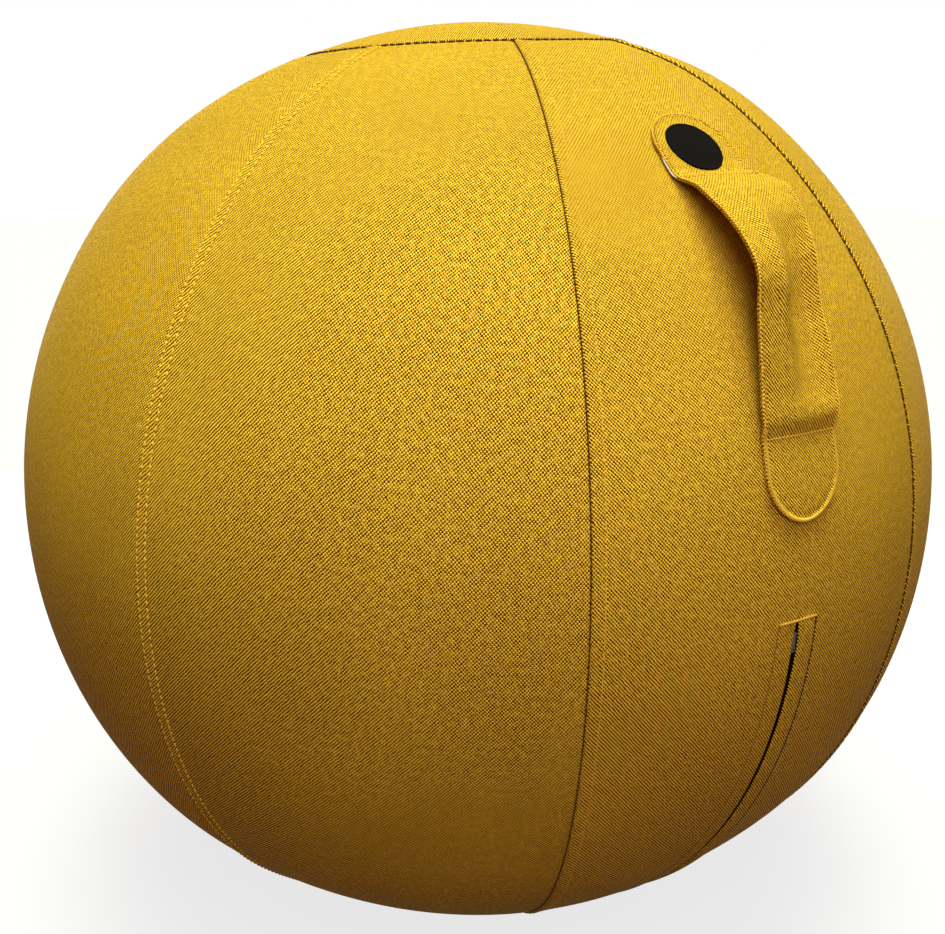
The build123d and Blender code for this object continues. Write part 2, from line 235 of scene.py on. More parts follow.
def yarn_phases(tree, flat, warp, weft):
    """Return the waves' phases across both sets of yarns, nudged so that no yarn is straight."""
    wander = add_node(tree, "ShaderNodeTexNoise", Vector=flat, Scale=420.0, Detail=1.0).outputs["Color"]
    wobble = add_math(tree, "ADD", wander, (-0.5, -0.5, -0.5), kind="ShaderNodeVectorMath")
    nudge = add_math(tree, "MULTIPLY", wobble, (0.0011, 0.0009, 0.0), kind="ShaderNodeVectorMath")
    moved = add_math(tree, "ADD", flat, nudge, kind="ShaderNodeVectorMath")
    counted = add_math(tree, "MULTIPLY", moved, (1 / warp, 1 / weft, 0), kind="ShaderNodeVectorMath")
    yarns = add_node(tree, "ShaderNodeSeparateXYZ", Vector=counted)
    return [add_math(tree, "MULTIPLY", yarns.outputs[axis], math.pi) for axis in ("X", "Y")]


def woven_cloth(name, light, dark, warp, weft, depth):
    """Return a plain weave, a checker of light and dark cells with painted shade along the gaps between the
    weft yarns, laid on the UV map called cloth.
    """
    made, tree, shader = new_material(name, roughness=0.75, specular=0.05)
    uv = add_node(tree, "ShaderNodeUVMap")
    uv.uv_map = "cloth"
    flat = uv.outputs[0]
    turns = yarn_phases(tree, flat, warp, weft)
    across, along = (add_math(tree, "SINE", turn) for turn in turns)
    plain = add_math(tree, "MULTIPLY", across, along)
    crossing = add_math(tree, "MULTIPLY", *(add_math(tree, "COSINE", turn) for turn in turns))
    # The checker leans to one diagonal where the map is under 0.2, as on the front panel, and to the other
    # beyond it.
    # This lean is painted shade: it stands in for the yarns' relief shading one another where the cloth is
    # seen slanting.
    # That lean fades out across the front left panel.
    cut = add_node(tree, "ShaderNodeSeparateXYZ", Vector=flat).outputs["X"]
    skew = add_range(tree, cut, 2.10, 2.23, -0.26, 0.0)
    lean = add_math(tree, "MULTIPLY_ADD", add_math(tree, "LESS_THAN", cut, 0.2), 0.46, skew)
    checker = add_math(tree, "MULTIPLY_ADD", crossing, lean, plain)
    over = add_range(tree, checker, -0.5, 0.5, 0.0, 1.0, kind="SMOOTHSTEP")
    uneven = add_math(tree, "MULTIPLY_ADD", add_noise(tree, flat, 310.0, 2.0), 0.95, -0.475)
    slow = add_math(tree, "MULTIPLY_ADD", add_noise(tree, flat, 13.0, 3.0), 0.26, -0.13)
    # rows is painted shade: it darkens the colour along the gaps between the weft yarns.
    rows = add_math(tree, "MULTIPLY_ADD", add_math(tree, "ABSOLUTE", along), 0.34, -0.2)
    grain = add_math(tree, "ADD", add_math(tree, "ADD", uneven, slow), rows)
    fill = add_math(tree, "ADD", over, grain)
    feed(tree, shader.inputs["Base Color"], add_ramp(tree, fill, dark, light, 0.12, 0.7))
    add_bump(tree, shader, fill, 0.8, depth)
    return made


golden, brown = (0.98, 0.65, 0.052), (0.075, 0.022, 0.0002)
cover_cloth = woven_cloth("cover_cloth", golden, brown, warp_pitch, weft_pitch, depth=0.00025)
print("cloth has", round(0.1 / warp_pitch), "by", round(0.1 / weft_pitch), "yarns in ten centimetres")

# %% [markdown]
# ## The ball's outline
# The ball isn't a true sphere: it is a little flatter on top and stands on a flat patch. Four arcs
# that run into each other give its outline, with the same values as the CAD. Every cloth piece is
# wrapped on it by two numbers, the run down from the top and the turn round the ball, so helpers
# change one into the other.

# %% Outline helpers
ball_diameter = 0.650
flank_radius = 0.320
shoulder_radius = 0.307
contact_radius = 0.046
crown_angle, shoulder_angle, toe_angle = np.radians((21.0, 51.5, 152.0))
flank_r = ball_diameter / 2 - flank_radius
toe_radius = flank_radius - (contact_radius - flank_r) / math.sin(toe_angle)
flank_z = toe_radius - (flank_radius - toe_radius) * math.cos(toe_angle)
shoulder_r = flank_r + (flank_radius - shoulder_radius) * math.sin(shoulder_angle)
shoulder_z = flank_z + (flank_radius - shoulder_radius) * math.cos(shoulder_angle)
crown_radius = shoulder_radius + shoulder_r / math.sin(crown_angle)
crown_z = shoulder_z - (crown_radius - shoulder_radius) * math.cos(crown_angle)
arc_r = np.array((0.0, shoulder_r, flank_r, contact_radius))
arc_z = np.array((crown_z, shoulder_z, flank_z, toe_radius))
arc_radius = np.array((crown_radius, shoulder_radius, flank_radius, toe_radius))
arc_angles = np.array((0.0, crown_angle, shoulder_angle, toe_angle, math.pi))
arc_runs = np.concatenate(((0.0,), np.cumsum(arc_radius * np.diff(arc_angles))))


def angle_at(run):
    """Angle from straight up, for a run down the outline from the top."""
    return np.interp(run, arc_runs, arc_angles)


def run_at(angle):
    """Run down the outline from the top, for an angle from straight up."""
    return np.interp(angle, arc_angles, arc_runs)


def outline(angle, lift=0.0):
    """Distance from the upright axis and height, at an angle and a lift off the cloth."""
    arc = np.clip(np.searchsorted(arc_angles, angle) - 1, 0, 3)
    reach = arc_radius[arc] + lift
    return arc_r[arc] + reach * np.sin(angle), arc_z[arc] + reach * np.cos(angle)


full_swell, slack_swell = 0.004, -0.002


def swell(turn, angle):
    """How far the filled cover stands off that outline: it sags low down, and its shoulders differ."""
    degrees = np.degrees(angle)
    around = np.degrees((turn + math.pi) % (2 * math.pi)) - 180.0
    clear_of_zip = np.clip((np.abs(around) - 8.0) / 20.0, 0, 1)
    sag = np.exp(-((degrees - 125.0) / np.where(degrees < 125.0, 26.0, 11.0)) ** 2) * clear_of_zip
    full = np.exp(-((degrees - 28.0) / 13.0) ** 2 - ((around - 36.0) / 34.0) ** 2)
    slack = np.exp(-((degrees - 24.0) / 14.0) ** 2 - ((around + 100.0) / 40.0) ** 2)
    return full_swell * (sag + full) + slack_swell * slack


def on_ball(turn, angle, lift=0.0):
    """Points on the ball: turn is from the front, -Y, towards +X."""
    r, z = outline(angle, lift + swell(turn, angle))
    return np.stack((r * np.sin(turn), -r * np.cos(turn), z + 0 * turn), axis=-1)


def facing(turn, angle):
    """The way out of the cloth there."""
    level = np.sin(angle)
    return np.stack((level * np.sin(turn), -level * np.cos(turn), np.cos(angle) + 0 * turn), axis=-1)


print("ball is", round(float(outline(0.0)[1]), 4), "m high")
print("the run from its top to the floor is", round(float(arc_runs[-1]), 4), "m")

# %% [markdown]
# ## Eight panels
# Each panel is a long gore, cut from flat cloth and sewn to its neighbours. Where two panels meet, the
# spare cloth is pressed under the right-hand one and topstitched there, so that panel has a raised
# band along its left edge, and its right edge dips into the seam. A flat grid, with its columns
# close together near the edges, is wrapped on the ball and lifted or sunk by these small profiles.
# Solidify then gives the cloth its thickness.

# %% Seam profiles
millimetre = 0.001
band_stops = np.array((0.0, 0.3, 0.8, 1.5, 2.5, 4.5, 6.2, 7.0, 7.6, 8.3, 9.6, 12.0, 16.0)) * millimetre
band_lifts = np.array((-1.2, -0.15, 0.6, 1.0, 1.1, 0.75, 0.5, 0.25, 0.0, 0.18, 0.22, 0.08, 0.0)) * millimetre
dip_stops = np.array((0.0, 0.4, 1.0, 2.0, 3.5, 6.0, 10.0)) * millimetre
dip_lifts = np.array((-1.2, -0.8, -0.5, -0.3, -0.14, -0.04, 0.0)) * millimetre
band_width, dip_width = 0.014, 0.010
band_pucker, dip_pucker = 0.00016, 0.00014


def pucker(run, seed):
    """A small uneven wave along a seam, about one high and low."""
    wave = np.sin(run * 1150 + seed) + 0.8 * np.sin(run * 733 + 2.1 * seed)
    return (wave + 0.7 * np.sin(run * 1787 + 3.3 * seed)) / 2.5


def band_lift(away, run, seed):
    """Lift of the raised edge that hides the seam's spare cloth."""
    near = np.clip(1 - away / band_width, 0, 1)
    return np.interp(away, band_stops, band_lifts) + band_pucker * near * pucker(run, seed)


def dip_lift(away, run, seed):
    """Lift of the edge that dips into a seam."""
    near = np.clip(1 - away / dip_width, 0, 1)
    return np.interp(away, dip_stops, dip_lifts) + dip_pucker * near * pucker(run, seed)


print("a seam's band rises", round(band_lifts.max() / millimetre, 1), "mm")

# %% [markdown]
# ### Laying cloth on the ball
# A sheet starts as Blender's flat grid, whose points are then moved to their places on the ball. Its UV
# map keeps the flat cloth's measures in metres, so the weave has the same size on every piece.

# %% Panel grid
panel_names = (
    "front_panel", "front_right_panel", "right_panel", "rear_right_panel",
    "rear_panel", "rear_left_panel", "left_panel", "front_left_panel",
)
half_panel = math.pi / len(panel_names)
cap_radius = 0.110
cap_shift = 0.011
cap_turn = math.radians(-110.0)
cloth_thickness = 0.0012


def cap_edge(turn, below=False):
    """Distance from the upright axis to a cap's edge; the top cap sits a little to the left."""
    shift = 0.0 if below else cap_shift
    aside = shift * np.sin(turn - cap_turn)
    return shift * np.cos(turn - cap_turn) + np.sqrt(cap_radius ** 2 - aside ** 2)


def panel_ends(turn):
    """Runs down from the top to a panel's two ends, at the edges of the caps."""
    first = run_at(np.arcsin(cap_edge(turn) / crown_radius))
    last = run_at(math.pi - np.arcsin((cap_edge(turn, True) - contact_radius) / toe_radius))
    return first, last


def spread(first, last, fixed_first, fixed_last, count):
    """Pairs (p, q) of places p + q * size, at fixed steps by both ends and even steps between."""
    even = np.linspace(0, 1, count + 1)[1:-1]
    start, end = fixed_first[-1], fixed_last[-1]
    p = np.concatenate((fixed_first, start * (1 - even) - end * even, -fixed_last[::-1]))
    q = np.concatenate((
        np.full(len(fixed_first), first), first + (last - first) * even, np.full(len(fixed_last), last)))
    return p, q


def set_cloth_map(piece, flat):
    """Give a piece the UV map called cloth, from a flat place for each of its points."""
    corner = np.empty(len(piece.data.loops), dtype=int)
    piece.data.loops.foreach_get("vertex_index", corner)
    layer = piece.data.uv_layers[0] if piece.data.uv_layers else piece.data.uv_layers.new()
    layer.name = "cloth"
    layer.data.foreach_set("uv", flat[corner].ravel())


def move_points(piece, places):
    """Move a piece's points to new places."""
    piece.data.vertices.foreach_set("co", places.ravel())
    piece.data.update()


def points_of(piece):
    """The places of a piece's points."""
    places = np.empty(len(piece.data.vertices) * 3)
    piece.data.vertices.foreach_get("co", places)
    return places.reshape(-1, 3)


def lay_grid(name, places, flat):
    """Add a flat grid, lay its points on places[row, column] and map it by flat[row, column]."""
    rows, columns = places.shape[:2]
    bpy.ops.mesh.primitive_grid_add(x_subdivisions=columns - 1, y_subdivisions=rows - 1, size=1.0)
    piece = bpy.context.object
    piece.name = piece.data.name = name
    start = points_of(piece)
    column = np.rint((start[:, 0] + 0.5) * (columns - 1)).astype(int)
    row = np.rint((0.5 - start[:, 1]) * (rows - 1)).astype(int)
    set_cloth_map(piece, flat[row, column])
    move_points(piece, places[row, column])
    return piece


def thicken(piece, thickness, offset=-1.0):
    """Give a sheet its thickness and smooth shading."""
    bpy.ops.object.select_all(action="DESELECT")
    piece.select_set(True)
    bpy.context.view_layer.objects.active = piece
    wall = piece.modifiers.new("cloth_thickness", "SOLIDIFY")
    wall.thickness = thickness
    wall.offset = offset
    bpy.ops.object.modifier_apply(modifier=wall.name)
    bpy.ops.object.shade_smooth()


def finish_piece(piece, material, slot=None, nodes=()):
    """Give a piece of the ball its material, attach it to the ball and hide the CAD nodes that it stands
    for; slot is not used.
    """
    piece.data.materials.clear()
    piece.data.materials.append(material)
    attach(piece, "ball")
    if nodes:
        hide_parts(*nodes)


print("a panel is", round(360 / len(panel_names)), "degrees of the ball")

# %% Zip measures
zip_length = 0.326
zip_depth = 0.00505
zip_reach = flank_radius - zip_depth
zip_top = math.radians(91.6)
zip_bottom = zip_top + zip_length / zip_reach
slit_bottom = zip_bottom + 0.005 / zip_reach
lip_stops = np.array(
    (1.3, 1.35, 1.6, 2.2, 3.5, 6.0, 8.5, 11.0, 13.0, 14.0, 14.6, 15.2, 16.2, 20.0)) * millimetre
right_lips = np.array(
    (-0.5, -0.1, 0.2, 0.5, 0.9, 1.2, 1.3, 1.2, 0.8, 0.3, -1.2, -0.2, 0.1, 0.0)) * millimetre
left_lips = np.array(
    (-0.6, -0.3, -0.05, 0.1, 0.2, 0.25, 0.25, 0.2, 0.15, 0.05, -0.15, 0.0, 0.05, 0.0)) * millimetre
slit_places = np.array((0.0, 5.0, 11.0, 26.0, 42.0, 60.0)) * millimetre / flank_radius
slit_halves = np.array((1.0, 1.5, 2.0, 1.9, 1.55, 1.5)) * millimetre
gape_fade = 0.006


def lip_lift(sideways, angle):
    """Lift of the two cloth lips over the zip, fading out past its ends."""
    ends = (zip_top - 0.018, zip_top + 0.014, slit_bottom - 0.004, slit_bottom + 0.016)
    fade = np.interp(angle, ends, (0, 1, 1, 0))
    right = np.interp(sideways, lip_stops, right_lips)
    left = np.interp(-sideways, lip_stops, left_lips)
    return fade * np.where(sideways > 0, right, left)


def slit_shift(sideways, angle):
    """Sideways shift of the lips, so that the slit gapes near its top."""
    gape = np.interp(angle - zip_top, slit_places, slit_halves) - lip_stops[0]
    return np.sign(sideways) * gape * np.exp(-(np.abs(sideways) - lip_stops[0]) / gape_fade)


print("slit is up to", round(2 * slit_halves.max() / millimetre, 1), "mm wide")

# %% Panels
edge_steps = np.array(
    (0.0, 0.3, 0.8, 1.5, 2.5, 3.5, 4.5, 5.5, 6.4, 7.0, 7.6, 8.2, 9.0, 10.5, 13.0, 16.0)) * millimetre
far_steps = np.array((0.0, 0.4, 1.0, 2.0, 3.5, 5.0, 7.0, 10.0)) * millimetre
end_steps = np.array((0.0, 0.4, 1.0, 2.0, 3.5, 5.0, 7.0, 9.0)) * millimetre
plain_columns, zip_side_columns, panel_rows = 44, 18, 290
wrap_rounds = 8
cut_width, cut_step = 0.31, 0.017
weft_slopes = (0.0, 0.03, -0.04, 0.02, -0.02, 0.04, -0.03, 0.1)


def panel_columns(with_zip):
    """Columns across a panel, closer together along the zip on the front one."""
    if not with_zip:
        return spread(-1.0, 1.0, edge_steps, far_steps, plain_columns)
    left = spread(-1.0, 0.0, edge_steps, lip_stops, zip_side_columns)
    right = spread(0.0, 1.0, lip_stops, far_steps, zip_side_columns)
    return np.concatenate((left, right), axis=1)


def wrap_panel(index, with_zip):
    """Return a panel's places on the ball and its flat UV map, row by row."""
    column_p, column_q = panel_columns(with_zip)
    row_p, row_q = spread(0.0, 1.0, end_steps, end_steps, panel_rows)
    turn = np.zeros((len(row_p), len(column_p)))
    # Rows start at the cap's edge, which depends on the turn, so both are worked out in a few rounds
    for _ in range(wrap_rounds):
        first, last = panel_ends(turn + 2 * half_panel * index)
        run = first + row_p[:, None] + row_q[:, None] * (last - first)
        angle = angle_at(run)
        r = outline(angle)[0]
        sideways = column_p + column_q * r * half_panel
        turn = sideways / r
    half = r * half_panel
    lift = band_lift(half + sideways, run, index) + dip_lift(half - sideways, run, index + 5)
    lift += dip_lift(run - first, sideways, 3) + dip_lift(last - run, sideways, 4)
    down = run + cut_step * index - weft_slopes[index] * sideways
    flat = np.stack((sideways + cut_width * index, down), axis=-1)
    if with_zip:
        lift += lip_lift(sideways, angle)
        turn = turn + slit_shift(sideways, angle) / r
    return on_ball(turn + 2 * half_panel * index, angle, lift), flat


panels = []
for index, name in enumerate(panel_names):
    places, flat = wrap_panel(index, name == "front_panel")
    panels.append(lay_grid("cover_" + name, places, flat))
print("panels:", len(panels), "each", len(panels[1].data.polygons), "faces")

# %% [markdown]
# ### The slit over the zip
# The front panel is open along its middle, between two soft lips. The grid already has columns at
# both edges of the slit, so the faces between them are picked by place and deleted.

# %% Slit
def pick_faces(piece, test):
    """Select the faces of a piece whose middles pass a test, and enter edit mode on faces."""
    bpy.ops.object.select_all(action="DESELECT")
    bpy.context.view_layer.objects.active = piece
    piece.select_set(True)
    bpy.ops.object.mode_set(mode="EDIT")
    bpy.ops.mesh.select_mode(type="FACE")
    bpy.ops.mesh.select_all(action="DESELECT")
    bpy.ops.object.mode_set(mode="OBJECT")
    count = 0
    for face in piece.data.polygons:
        face.select = bool(test(face.center))
        count += face.select
    bpy.ops.object.mode_set(mode="EDIT")
    return count


def zip_angle_of(place):
    """Angle of a place on the front of the ball, about the zip's own axis."""
    return math.atan2(-place.y - flank_r, place.z - flank_z)


def in_slit(place):
    """Whether a place on the front panel lies between the two lips."""
    return abs(place.x) < 0.0004 and place.y < 0 and zip_top < zip_angle_of(place) < slit_bottom


opened = pick_faces(panels[0], in_slit)
bpy.ops.mesh.delete(type="FACE")
bpy.ops.object.mode_set(mode="OBJECT")
print("slit opened by", opened, "faces")

# %% Finish the panels
for panel, name in zip(panels, panel_names):
    thicken(panel, cloth_thickness)
    finish_piece(panel, cover_cloth, slot="cover_cloth", nodes=(name,))

# %% [markdown]
# ## Two end caps
# The panels end at a round cap. A filled circle is inset ring by ring, with the rings close together near
# its edge, where the hem stands up a little beside the seam. Then it is laid on the ball. The top cap
# sits about a centimetre off the middle, as the photograph shows.

# %% Caps
hem_stops = np.array((0.0, 0.4, 1.0, 2.0, 3.5, 5.5, 8.0)) * millimetre
hem_lifts = np.array((-1.2, -0.1, 0.5, 0.75, 0.6, 0.25, 0.0)) * millimetre
hem_rings = np.array((0.4, 0.6, 1.0, 1.5, 2.0, 2.5)) * millimetre
wide_rings = (0.0085,) * 11
cap_points = 180


def round_sheet(name, radius, points, rings):
    """Return a flat round sheet, a filled circle that is inset ring by ring."""
    bpy.ops.object.select_all(action="DESELECT")
    bpy.ops.mesh.primitive_circle_add(vertices=points, radius=radius, fill_type="NGON")
    piece = bpy.context.object
    piece.name = piece.data.name = name
    bpy.ops.object.mode_set(mode="EDIT")
    bpy.ops.mesh.select_mode(type="FACE")
    bpy.ops.mesh.select_all(action="SELECT")
    for step in rings:
        bpy.ops.mesh.inset(thickness=step, depth=0.0, use_boundary=True)
    bpy.ops.object.mode_set(mode="OBJECT")
    return piece


def on_cap(x, y, below, lift):
    """Places and ways out on the ball for places on a flat cap."""
    shift = 0.0 if below else cap_shift
    x, y = x + shift * math.sin(cap_turn), y - shift * math.cos(cap_turn)
    r, turn = np.hypot(x, y), np.arctan2(x, -y)
    if not below:
        angle = np.arcsin(r / crown_radius)
        return on_ball(turn, angle, lift), facing(turn, angle)
    angle = math.pi - np.arcsin(np.clip(r - contact_radius, 0, None) / toe_radius)
    places = np.stack((x, y, toe_radius * (1 + np.cos(angle)) - lift), axis=-1)
    return places, facing(turn, angle)


def lay_cap(piece, below):
    """Lay a flat cap on the top of the ball, or under it."""
    flat = points_of(piece)[:, :2]
    x, y = flat.T
    set_cloth_map(piece, flat)
    lift = np.interp(cap_radius - np.hypot(x, y), hem_stops, hem_lifts)
    move_points(piece, on_cap(x, y, below, lift)[0])


for name, below in (("top_cap", False), ("bottom_cap", True)):
    cap = round_sheet("cover_" + name, cap_radius, cap_points, (*hem_rings, *wide_rings))
    lay_cap(cap, below)
    if below:
        pick_faces(cap, lambda place: True)
        bpy.ops.mesh.flip_normals()
        bpy.ops.object.mode_set(mode="OBJECT")
    thicken(cap, cloth_thickness)
    finish_piece(cap, cover_cloth, slot="cover_cloth", nodes=(name,))

# %% [markdown]
# ## Sewing thread
# The topstitching shows as a row of short, plump dashes. One stitch is modelled from a low sphere,
# stretched to a grain of thread, and set along each row by code, because a row has hundreds of them.

# %% One stitch
bpy.ops.object.select_all(action="DESELECT")
bpy.ops.mesh.primitive_uv_sphere_add(segments=6, ring_count=4, radius=0.5)
stitch = bpy.context.object
stitch.name = "one_stitch"
bpy.ops.object.mode_set(mode="EDIT")
bpy.ops.mesh.select_all(action="SELECT")
bpy.ops.transform.rotate(value=math.pi / 2, orient_axis="Y", center_override=(0, 0, 0))
bpy.ops.object.mode_set(mode="OBJECT")
stitch_corners = points_of(stitch)
stitch_faces = [tuple(p.vertices) for p in stitch.data.polygons]
bpy.data.objects.remove(stitch)
print("one stitch has", len(stitch_faces), "faces")


def unit(ways):
    """Directions with a length of one."""
    return ways / np.linalg.norm(ways, axis=1)[:, None]


def stitch_row(name, material, middles, alongs, outs, size, **finish):
    """Add one finished piece: a stitch of that size at each middle, lying along, with outs as its up."""
    length, width, height = size
    alongs = unit(alongs)
    asides = unit(np.cross(outs, alongs))
    ups = np.cross(alongs, asides)
    corners = (
        middles[:, None] + stitch_corners[None, :, 0:1] * length * alongs[:, None]
        + stitch_corners[None, :, 1:2] * width * asides[:, None]
        + stitch_corners[None, :, 2:3] * height * ups[:, None])
    count = len(stitch_corners)
    faces = [tuple(v + count * k for v in face) for k in range(len(middles)) for face in stitch_faces]
    mesh = bpy.data.meshes.new(name)
    mesh.from_pydata(corners.reshape(-1, 3).tolist(), [], faces)
    mesh.polygons.foreach_set("use_smooth", [True] * len(faces))
    made = bpy.data.objects.new(name, mesh)
    bpy.context.collection.objects.link(made)
    finish_piece(made, material, **finish)
    return made


# %% Thread material
def object_place(tree):
    """Return a piece's own coordinates, in metres."""
    return add_node(tree, "ShaderNodeTexCoord").outputs["Object"]


def thread_material(name, colour, deep):
    """Return twisted thread: fine slanting bands of two colours, with little gloss."""
    made, tree, shader = new_material(name, roughness=0.6, specular=0.08)
    place = object_place(tree)
    twist = add_node(tree, "ShaderNodeTexWave", Vector=place, Scale=900.0, Distortion=2.0).outputs["Fac"]
    feed(tree, shader.inputs["Base Color"], add_ramp(tree, twist, deep, colour))
    return made


gold_thread = thread_material("gold_thread", (0.98, 0.74, 0.10), (0.70, 0.44, 0.03))
seam_thread = thread_material("seam_thread", (0.50, 0.28, 0.02), (0.22, 0.11, 0.008))
# This dark thread is partly painted shade: laid wide in the middle and right seams and round the caps, it
# stands in for the shade in their creases as well as for the thread.
dark_thread_and_crease_shade = thread_material("dark_thread_and_crease_shade", (0.11, 0.052, 0.005), (0.05, 0.024, 0.003))
print("threads:", [thread.name for thread in (gold_thread, seam_thread, dark_thread_and_crease_shade)])

# %% [markdown]
# ### Seams
# Every panel seam has two rows: thread in the seam itself, and topstitching on the raised band beside
# it. The three seams on the front differ in the photograph, in pitch and in colour, so tables hold
# a row for each of them and a plain row for the rest.

# %% Panel seams
topstitch_from_seam = 0.0076
seam_margin = 0.002
left_seam_start = 0.004
thread_offset = 0.0007


def seam_places(turn, pitch, sideways, lift, start=0.0):
    """Stitch middles, directions and ways out down a seam, at a distance to its right."""
    first, last = panel_ends(turn)
    run = np.arange(first + seam_margin + start, last - seam_margin, pitch)
    angle = angle_at(run)
    further = angle + 0.002
    here = turn + sideways / outline(angle)[0]
    middles = on_ball(here, angle, lift)
    ahead = on_ball(turn + sideways / outline(further)[0], further, lift)
    return middles, ahead - middles, facing(here, angle)


left_seam, middle_seam, right_seam = 7, 0, 1
# Topstitch in millimetres: pitch, length, width and lift
plain_top_row = (3.1, 2.6, 0.62, 0.2)
top_rows = {left_seam: (4.2, 3.2, 1.2, 0.4), right_seam: (3.1, 2.6, 0.62, -0.6)}
# Thread in the seam itself: its material, then in millimetres pitch, length, width, distance aside and lift
plain_seam_row = (seam_thread, 2.6, 1.7, 1.0, 0.0, -0.6)
seam_rows = {
    left_seam: (gold_thread, 4.2, 3.2, 1.3, 1.8, 1.0),
    # The dark rows in the middle and right seams are wide, so they paint the shade in the seam's crease as
    # well as the thread.
    middle_seam: (dark_thread_and_crease_shade, 3.2, 2.7, 1.1, 0.0, -0.4),
    right_seam: (dark_thread_and_crease_shade, 4.6, 4.4, 1.4, 0.0, -0.2),
}
for index in range(len(panel_names)):
    turn = half_panel * (2 * index - 1)
    start = left_seam_start if index == left_seam else 0.0
    pitch, length, width, lift = np.array(top_rows.get(index, plain_top_row)) * millimetre
    row_places = seam_places(turn, pitch, topstitch_from_seam, lift, start)
    stitch_row(f"topstitch_{index + 1}", gold_thread, *row_places, (length, width, width))
    thread, *row = seam_rows.get(index, plain_seam_row)
    pitch, length, width, aside, lift = np.array(row) * millimetre
    middles, alongs, outs = seam_places(turn, pitch, aside, lift, start + thread_offset)
    ways = alongs if index in seam_rows else np.cross(outs, alongs)
    stitch_row(f"seam_thread_{index + 1}", thread, middles, ways, outs, (length, width, width))
print("stitches down one seam:", len(middles))

# %% Cap seams
# The dark dashes round each cap are wide and stand for painted shade in the crease along the cap's edge as
# well as for its thread.
dash_pitch = 0.0054
dash_size = (0.0042, 0.0017, 0.0013)
dash_count = round(2 * math.pi * cap_radius / dash_pitch)
dash_turns = np.arange(dash_count) * 2 * math.pi / dash_count
dash_ways = np.stack((np.cos(dash_turns), np.sin(dash_turns), 0 * dash_turns), axis=-1)
for name, below in (("top_cap_thread_and_crease_shade", False), ("bottom_cap_thread_and_crease_shade", True)):
    middles, outs = on_cap(cap_radius * np.sin(dash_turns), -cap_radius * np.cos(dash_turns), below, 0.0)
    stitch_row(name, dark_thread_and_crease_shade, middles, dash_ways, outs, dash_size)
print("stitches round a cap:", dash_count)

# %% [markdown]
# ## Carrying strap
# The strap is a flat tube of the cover's cloth: a face, a white interlining and a lining, sewn together
# round the edge. Its two round ends lie on the panel, and between them it stands off so that a hand
# fits under it. It isn't flat: one edge stands higher, and a ridge and a hollow run down it. Three
# layers share one grid, and tables of heights read off the strap's edges give its bow.

# %% Strap heights
strap_half = 0.0280
strap_aside = 0.0015
upper_tab, lower_tab = 0.0500, 0.0470
upper_anchor, lower_anchor = np.radians((46.1, 72.9))
strap_start = run_at(upper_anchor) - upper_tab
strap_end = run_at(lower_anchor) + lower_tab
# Heights in millimetres at angles in degrees
left_angles = (
    45.2, 45.9, 46.5, 48.2, 50.2, 52.2, 54.7, 57.1, 58.4, 59.5, 61.7, 64.2, 66.6, 69.3, 71.6, 72.3, 72.9)
left_heights = (
    3.4, 4.2, 6.4, 13.4, 17.5, 22.2, 26.7, 29.4, 29.6, 28.3, 21.8, 17.0, 13.2, 9.1, 7.4, 5.8, 3.3)
right_angles = (44.6, 45.2, 47.5, 49.7, 51.5, 53.3, 57.1, 59.4, 62.0, 65.5, 69.2, 70.7, 71.6, 72.4, 72.9)
right_heights = (3.4, 3.8, 13.0, 21.8, 23.6, 23.4, 20.6, 15.7, 12.0, 11.1, 8.9, 9.2, 8.6, 6.2, 3.3)
ridge_angles = (50.0, 54.0, 60.5, 65.0)
ridge_heights = (0.0, 3.4, 3.4, 0.0)
hollow_angles = (53.0, 55.0, 57.5, 60.0, 62.5, 65.5, 68.5, 71.0)
hollow_depths = (0.0, 3.8, 6.5, 7.5, 7.0, 6.0, 3.5, 0.8)
fine_angles = np.linspace(30.0, 90.0, 1201)
blur_reach = 30
blur = np.exp(-0.5 * (np.arange(-blur_reach, blur_reach + 1) * 0.05 / 0.36) ** 2)


def smooth_table(steps, stops, values):
    """A table's values at fine steps, rounded off."""
    line = np.interp(steps, stops, values)
    return np.convolve(np.pad(line, blur_reach, mode="edge"), blur / blur.sum(), mode="valid")


left_line = smooth_table(fine_angles, left_angles, left_heights) * millimetre
right_line = smooth_table(fine_angles, right_angles, right_heights) * millimetre
ridge_line = smooth_table(fine_angles, ridge_angles, ridge_heights) * millimetre
hollow_line = smooth_table(fine_angles, hollow_angles, hollow_depths) * millimetre
fine_across = np.linspace(-1.2, 1.2, 481)
ridge_profile = smooth_table(fine_across, (-0.6, -0.36, -0.26, -0.02), (0.0, 1.0, 1.0, 0.0))
hollow_profile = smooth_table(fine_across, (-0.2, 0.15, 0.3, 0.65, 0.95), (0.0, 0.8, 1.0, 0.9, 0.0))


def strap_height(angle, across):
    """Height of the strap's face over the ball; across runs from -1 at its left edge to 1."""
    degrees = np.degrees(angle)
    left = np.interp(degrees, fine_angles, left_line)
    right = np.interp(degrees, fine_angles, right_line)
    ridge = np.interp(degrees, fine_angles, ridge_line) * np.interp(across, fine_across, ridge_profile)
    hollow = np.interp(degrees, fine_angles, hollow_line) * np.interp(across, fine_across, hollow_profile)
    return left + (right - left) * (across + 1) / 2 + ridge - hollow


print("strap stands up to", round(float(left_line.max()), 4), "m off the ball")

